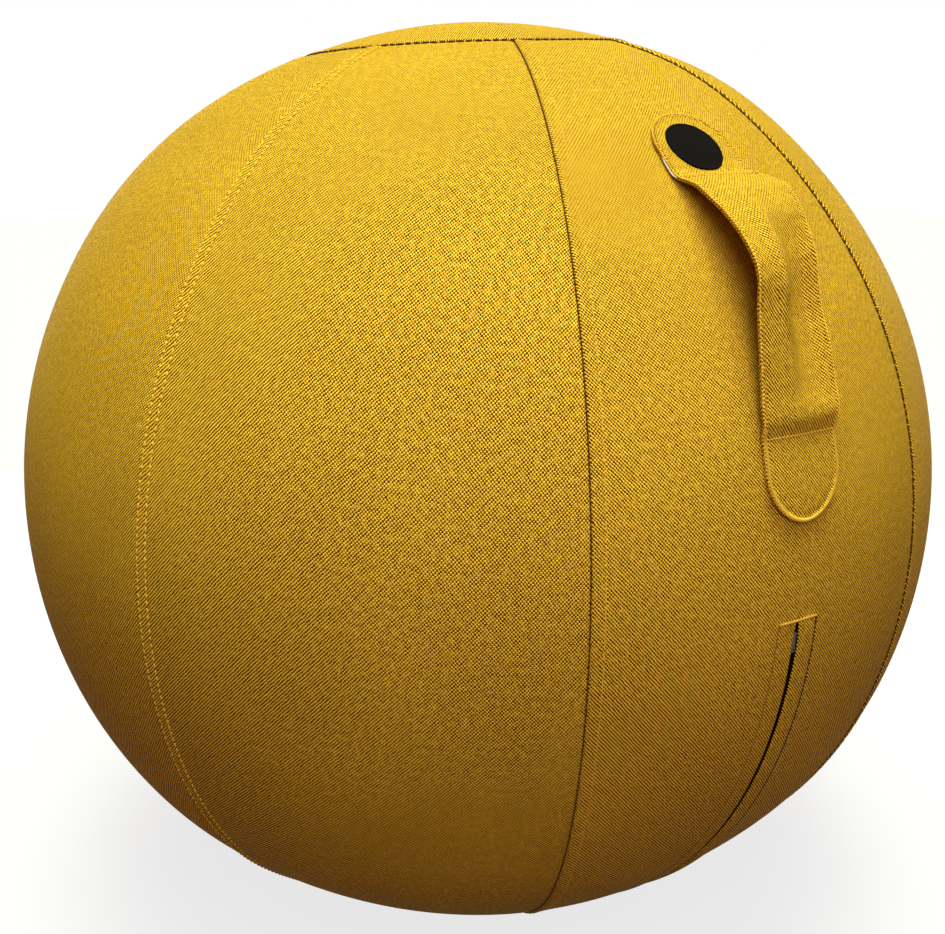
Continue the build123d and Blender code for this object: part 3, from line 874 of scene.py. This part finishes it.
# %% Strap grid
rim_stops = np.array((0.0, 0.2, 0.5, 1.0, 1.6, 2.2, 2.7, 3.4, 4.6, 6.5)) * millimetre
face_lifts = np.array((-1.5, -0.8, -0.25, 0.1, 0.15, -0.1, -0.55, -0.5, -0.2, 0.0)) * millimetre
under_lifts = np.array((1.3, 0.8, 0.4, 0.15, 0.05, 0.0, 0.0, 0.0, 0.0, 0.0)) * millimetre
strap_thickness = 0.0032
round_turns = np.linspace(0.07, math.pi / 2, 18)
round_runs = strap_half * (1 - np.cos(round_turns))
middle_runs = np.linspace(strap_start + strap_half, strap_end - strap_half, 190)[1:-1]
strap_runs = np.concatenate((strap_start + round_runs, middle_runs, (strap_end - round_runs)[::-1]))
round_halves = np.sin(round_turns)
strap_halves = strap_half * np.concatenate((round_halves, np.ones(len(middle_runs)), round_halves[::-1]))
rim_columns = 1 - rim_stops / strap_half
strap_columns = np.concatenate((-rim_columns, np.linspace(-0.76, 0.76, 25), rim_columns[::-1]))
middle_column = len(strap_columns) // 2


def rim_distance(sideways, run):
    """Distance from a place on the flat strap to its outline."""
    into_round = np.maximum(np.maximum(strap_start + strap_half - run, run - strap_end + strap_half), 0.0)
    return strap_half - np.hypot(sideways, into_round)


def on_strap(sideways, angle, lift):
    """Places over the front panel, at a steady distance from the strap's middle plane."""
    narrow = np.interp(np.degrees(angle), (71.0, 73.5), (1.0, 0.955))
    turn = np.arcsin((strap_aside + sideways * narrow) / outline(angle)[0])
    return on_ball(turn, angle) + np.asarray(lift)[..., None] * facing(0 * turn, angle)


def length_along(line):
    """Length from a line's start to each of its points."""
    return np.concatenate(((0.0,), np.cumsum(np.linalg.norm(np.diff(line, axis=0), axis=1))))


def strap_layer(inset, profile, drop):
    """Places and flat UV of one layer: inset from the outline and dropped under the face."""
    keep = 1 - inset / strap_half
    run = np.repeat(strap_runs[:, None], len(strap_columns), axis=1)
    sideways = strap_columns * strap_halves[:, None] * keep
    angle = angle_at(run)
    away = rim_distance(sideways, run)
    lift = strap_height(angle, sideways / strap_half) - drop + np.interp(away, rim_stops, profile)
    places = on_strap(sideways, angle, lift)
    length = length_along(places[:, middle_column])
    steps = np.linalg.norm(np.diff(places, axis=1), axis=2)
    width = np.concatenate((np.zeros((len(places), 1)), np.cumsum(steps, axis=1)), axis=1)
    width = width - width[:, middle_column][:, None]
    flat = np.stack((width, np.repeat(length[:, None], len(strap_columns), axis=1)), axis=-1)
    return places, flat


print("strap grid has", len(strap_runs), "rows and", len(strap_columns), "columns")

# %% Strap layers
no_rim = np.zeros(len(rim_stops))
core_inset = 0.0012
bare_width, bare_columns = 0.0019, 4
interlining = woven_cloth(
    "interlining", (0.86, 0.85, 0.80), (0.60, 0.58, 0.52), warp=0.0007, weft=0.0007, depth=0.0001)
places, flat = strap_layer(0.0, face_lifts, 0.0)
strap_face = lay_grid("strap_face", places, flat)
places, flat = strap_layer(0.0, under_lifts, strap_thickness)
strap_lining = lay_grid("strap_lining", places[:, ::-1], flat[:, ::-1])
# The interlining's left edge comes out from between the two cloths where the upper tab ends
places, flat = strap_layer(core_inset, no_rim, strap_thickness / 2 + 0.0001)
strap_angles = angle_at(strap_runs)
bare_edge = np.interp(np.degrees(strap_angles), (42.2, 43.6, 45.8, 46.5), (0, 1, 1, 0))
bare_side = unit(on_ball(0.0 * strap_runs, strap_angles) - on_ball(0.01 + 0.0 * strap_runs, strap_angles))
for column in range(bare_columns):
    places[:, column] += bare_side * (bare_edge * bare_width * (1 - column / bare_columns))[:, None]
strap_core = lay_grid("strap_core", places, flat)
for piece, node, material, slot, wall in (
        (strap_face, "handle_strap", cover_cloth, "cover_cloth", 0.0011),
        (strap_lining, "handle_lining", cover_cloth, "cover_cloth", 0.0011),
        (strap_core, "handle_core", interlining, "interlining", 0.0008)):
    thicken(piece, wall, 0.0 if piece is strap_core else -1.0)
    finish_piece(piece, material, slot=slot, nodes=(node,))

# %% [markdown]
# ### Strap stitching
# A row of short stitches runs round the strap's edge, more of them hold its two tabs, and a straight
# row crosses it at each anchor. A row is drawn on the flat strap first, and its places are then
# found on the bowed one.

# %% Strap stitching
def strap_line(sideways, run, sink):
    """Places on the bowed strap, sunk under its face."""
    angle = angle_at(run)
    away = rim_distance(sideways, run)
    lift = strap_height(angle, sideways / strap_half) + np.interp(away, rim_stops, face_lifts) - sink
    return on_strap(sideways, angle, lift)


def even_places(line, pitch):
    """Places at even steps along a line, with the direction there."""
    gone = length_along(line)
    steps = np.arange(pitch / 2, gone[-1], pitch)
    behind, found, ahead = (
        np.stack([np.interp(steps + shift, gone, axis) for axis in line.T], axis=-1)
        for shift in (-pitch / 2, 0.0, pitch / 2))
    return found, ahead - behind


def strap_outline(inset):
    """The strap's outline on the flat strap, at an inset, once round."""
    radius = strap_half - inset
    bend = np.linspace(0, math.pi, 60)
    top, bottom = strap_start + strap_half, strap_end - strap_half
    down = np.linspace(top, bottom, 400)
    side = np.full(len(down), radius)
    sideways = np.concatenate((-radius * np.cos(bend), side, radius * np.cos(bend), -side))
    run = np.concatenate((top - radius * np.sin(bend), down, bottom + radius * np.sin(bend), down[::-1]))
    return sideways, run


def ways_out(middles):
    """The ways out of the ball at places on or near its front."""
    return unit(middles - np.array((0.0, 0.0, flank_z)))


def sew_line(name, thread, line, pitch, size):
    """Sew stitches at even steps along a line on the front of the ball."""
    middles, alongs = even_places(line, pitch)
    return stitch_row(name, thread, middles, alongs, ways_out(middles), size)


edge_bead = (0.0014, 0.0013, 0.0013)
rim_stitch = (0.0025, 0.00075, 0.0008)
tab_stitch = (0.0022, 0.0009, 0.0009)
anchor_stitch = (0.0025, 0.0009, 0.0009)
anchor_half = 0.0265
edge_line = strap_line(*strap_outline(0.0001), -0.0007)
edge_row = sew_line("strap_edge_stitches", gold_thread, edge_line, 0.0020, edge_bead)
sideways, run = strap_outline(0.0011)
sewn_down = run > run_at(lower_anchor) - 0.004
middles, alongs = even_places(strap_line(sideways[sewn_down], run[sewn_down], -0.0001), 0.00085)
outs = ways_out(middles)
slanted = np.cross(outs, alongs) + 0.55 * alongs
stitch_row("strap_rim_stitches", gold_thread, middles, slanted, outs, rim_stitch)
held_up = run < run_at(upper_anchor) + 0.003
tab_line = strap_line(sideways[held_up], run[held_up], 0.0001)
sew_line("strap_tab_stitches", seam_thread, tab_line, 0.0030, tab_stitch)
anchors = []
for anchor, shift in ((upper_anchor, -0.0010), (lower_anchor, 0.0008)):
    sideways = np.linspace(-anchor_half, anchor_half, 60)
    run = np.full(len(sideways), run_at(anchor) + shift)
    anchors.append(even_places(strap_line(sideways, run, -0.0001), 0.0027))
middles, alongs = (np.concatenate(rows) for rows in zip(*anchors))
stitch_row("strap_anchor_stitches", gold_thread, middles, alongs, ways_out(middles), anchor_stitch)
print("strap edge has", len(edge_row.data.polygons) // len(stitch_faces), "stitches")

# %% [markdown]
# ## Badge
# A small round badge of black rubber sits on the strap's upper end. It stays bare: only its low rim and
# its fine grain are made. A thin cylinder would stand off the bowed strap, so a round sheet is inset
# ring by ring, each ring gets its height, and the disc is laid on the strap.

# %% Badge
badge_radius = 0.018
badge_run = run_at(upper_anchor) - 0.0225
badge_aside = -0.0029
badge_wall = 0.0008
badge_points = 96
badge_rings = (0.00012, 0.0003, 0.0006, 0.0007, 0.0004, 0.002, 0.003, 0.003, 0.003, 0.0025)
ring_radii = np.array((0.0, 0.0158, 0.0163, 0.0169, 0.0175, 0.01785, 0.0180))
ring_lifts = np.array((0.85, 0.78, 0.82, 1.0, 0.98, 0.8, 0.15)) * millimetre
badge = round_sheet("strap_badge", badge_radius, badge_points, badge_rings)
x, y, _ = points_of(badge).T
angle = angle_at(badge_run - y)
sideways = x + badge_aside
lift = strap_height(angle, sideways / strap_half) + np.interp(np.hypot(x, y), ring_radii, ring_lifts)
move_points(badge, on_strap(sideways, angle, lift))
thicken(badge, badge_wall)

black_rubber, tree, shader = new_material("black_rubber", roughness=0.75, specular=0.03)
grain = add_noise(tree, object_place(tree), 1400.0, 3.0)
shade = add_ramp(tree, grain, (0.0015, 0.0012, 0.0012), (0.006, 0.005, 0.005))
feed(tree, shader.inputs["Base Color"], shade)
add_bump(tree, shader, grain, 0.5, 0.00012)
finish_piece(badge, black_rubber, slot="badge", nodes=("handle_badge",))
print("badge is", round(2 * badge_radius * 1000), "mm across")

# %% [markdown]
# ## Zip
# Behind the slit lie two tapes with a nylon coil along each, and a small metal slider with its pull. The
# tapes are strips of cloth that bend up to where they are sewn to the panel. The coils are rows of
# rounded teeth. The slider and the pull keep their CAD shape, which is right, and get a metal finish.

# %% Zip tapes
tape_tail = 0.006 / zip_reach
tape_wall = 0.0006


def on_zip(sideways, angle, lift):
    """Places in the zip's own frame: sideways from the slit, an angle, and a lift over the cloth."""
    reach = flank_radius + lift
    y = -flank_r - reach * np.sin(angle)
    z = flank_z + reach * np.cos(angle)
    return np.stack((sideways + 0 * y, y + 0 * sideways, z + 0 * sideways), axis=-1)


tape_sides = np.array((3.1, 4.0, 5.2, 6.2, 7.8, 9.6, 11.0, 12.0, 14.0, 16.0)) * millimetre
tape_lifts = np.array((-4.75, -4.75, -4.72, -4.45, -3.85, -3.1, -2.65, -2.58, -2.58, -2.58)) * millimetre
tape_angles = np.linspace(zip_top - tape_tail, zip_bottom + tape_tail, 150)
tape_cloth = woven_cloth(
    "zip_tape", (0.045, 0.024, 0.006), (0.014, 0.008, 0.003), warp=0.0006, weft=0.0005, depth=0.0001)
for side, sign in (("right", 1), ("left", -1)):
    sideways = np.repeat((sign * tape_sides)[None, ::sign], len(tape_angles), axis=0)
    angle = np.repeat(tape_angles[:, None], len(tape_sides), axis=1)
    lift = np.repeat(tape_lifts[None, ::sign], len(tape_angles), axis=0)
    flat = np.stack((sideways, angle * flank_radius), axis=-1)
    tape = lay_grid("zip_tape_" + side + "_cloth", on_zip(sideways, angle, lift), flat)
    thicken(tape, tape_wall)
    finish_piece(tape, tape_cloth, slot="zip_tape", nodes=("zip_tape_" + side,))

# %% Coil teeth
tooth_pitch = 0.0013
tooth_aside = 0.0019
tooth_size = (0.0026, 0.0012, 0.0021)
stop_turn = 0.003 / zip_reach
coil_nylon, tree, shader = new_material("coil_nylon", roughness=0.35)
cloud = add_noise(tree, object_place(tree), 900.0, 2.0)
feed(tree, shader.inputs["Base Color"], add_ramp(tree, cloud, (0.010, 0.006, 0.003), (0.032, 0.019, 0.008)))
coil_start, coil_end = zip_top + stop_turn + 0.002, zip_bottom - stop_turn - 0.002
teeth_angles = np.arange(coil_start, coil_end, tooth_pitch / zip_reach)
across = np.tile((1.0, 0.0, 0.0), (len(teeth_angles), 1))
outs = np.stack((0 * teeth_angles, -np.sin(teeth_angles), np.cos(teeth_angles)), axis=-1)
for side, sign in (("right", 1), ("left", -1)):
    middles = on_zip(np.full(len(teeth_angles), sign * tooth_aside), teeth_angles, -zip_depth)
    stitch_row(
        "zip_coil_" + side + "_teeth", coil_nylon, middles, across, outs, tooth_size,
        slot="zip_coil", nodes=("zip_coil_" + side,))
print("teeth on each side:", len(teeth_angles))

# %% [markdown]
# ### Zip stitching
# A row of stitches down each side holds the tapes, and a bar tack of close short stitches ends the slit
# at its top and at its foot. They are copies of the one stitch, set on the ball as the seams are.

# %% Zip stitching
zip_stitch = (0.0029, 0.0017, 0.0017)
tack_stitch = (0.0018, 0.0007, 0.0008)
tack_lift = 0.0006
zip_thread_and_groove_shade = thread_material("zip_thread_and_groove_shade", (0.05, 0.022, 0.002), (0.02, 0.009, 0.001))
# The right-hand row is very dark and wide: besides the thread, it paints the shade in the groove along that
# side of the zip.
for side, sideways, sink, thread in (
        ("right", 0.0147, 0.0001, zip_thread_and_groove_shade), ("left", -0.0146, 0.0002, seam_thread)):
    angle = np.linspace(zip_top - 0.002, slit_bottom + 0.006, 500)
    line = on_ball(sideways / outline(angle)[0], angle, -sink)
    sew_line("zip_stitches_" + side, thread, line, zip_stitch[0], zip_stitch)
tack_sides = np.arange(-0.0140, 0.0146, 0.00055)
tacks = []
for angle in (zip_top - 0.0040, slit_bottom + 0.0070):
    turns = tack_sides / outline(np.full(len(tack_sides), angle))[0]
    tacks.append([on_ball(turns, angle + down + 0 * turns, tack_lift) for down in (0.0, 0.006)])
middles, ahead = (np.concatenate(rows) for rows in zip(*tacks))
alongs = ahead - middles
alongs[::2, 0] += 0.0006
stitch_row("zip_bar_tacks", gold_thread, middles, alongs, ways_out(middles), tack_stitch)
print("stitches in each bar tack:", len(tack_sides))

# %% [markdown]
# ## Metal, bladder and valve
# These CAD nodes have the right shape already, so they stay and only get a finish: brushed zinc with
# small scratches for the slider and the pull, and cloudy plastic for the bladder, its valve and the
# stops.

# %% Finishes of the CAD nodes
def metal_material(name, bright, dull):
    """Return cast metal with fine scratches."""
    made, tree, shader = new_material(name, metallic=1.0)
    stretch = add_node(tree, "ShaderNodeMapping", Vector=object_place(tree), Scale=(4000.0, 400.0, 400.0))
    scratch = add_noise(tree, stretch.outputs[0], 1.0, 3.0)
    feed(tree, shader.inputs["Base Color"], add_ramp(tree, scratch, dull, bright))
    feed(tree, shader.inputs["Roughness"], add_range(tree, scratch, 0.0, 1.0, 0.28, 0.5))
    return made


def plastic_material(name, light, deep, rough):
    """Return soft plastic with cloudy colour and a faint skin."""
    made, tree, shader = new_material(name, roughness=rough)
    place = object_place(tree)
    feed(tree, shader.inputs["Base Color"], add_ramp(tree, add_noise(tree, place, 24.0, 4.0), deep, light))
    add_bump(tree, shader, add_noise(tree, place, 600.0, 2.0), 0.3, 0.0002)
    return made


zinc = metal_material("dark_zinc", (0.085, 0.085, 0.085), (0.03, 0.03, 0.03))
bladder_plastic = plastic_material("bladder_plastic", (0.33, 0.34, 0.35), (0.20, 0.21, 0.22), 0.45)
plug_plastic = plastic_material("plug_plastic", (0.80, 0.79, 0.75), (0.62, 0.61, 0.57), 0.4)
stop_plastic = plastic_material("stop_plastic", (0.05, 0.03, 0.01), (0.025, 0.015, 0.006), 0.4)
finishes = {
    "zip_slider": zinc, "zip_pull": zinc, "bladder": bladder_plastic, "valve_seat": bladder_plastic,
    "valve_plug": plug_plastic, "zip_top_stops": stop_plastic, "zip_bottom_stop": stop_plastic,
}
for name, material in finishes.items():
    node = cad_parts[name]
    node.data.materials.clear()
    node.data.materials.append(material)
print("CAD nodes that stay:", sorted(finishes))
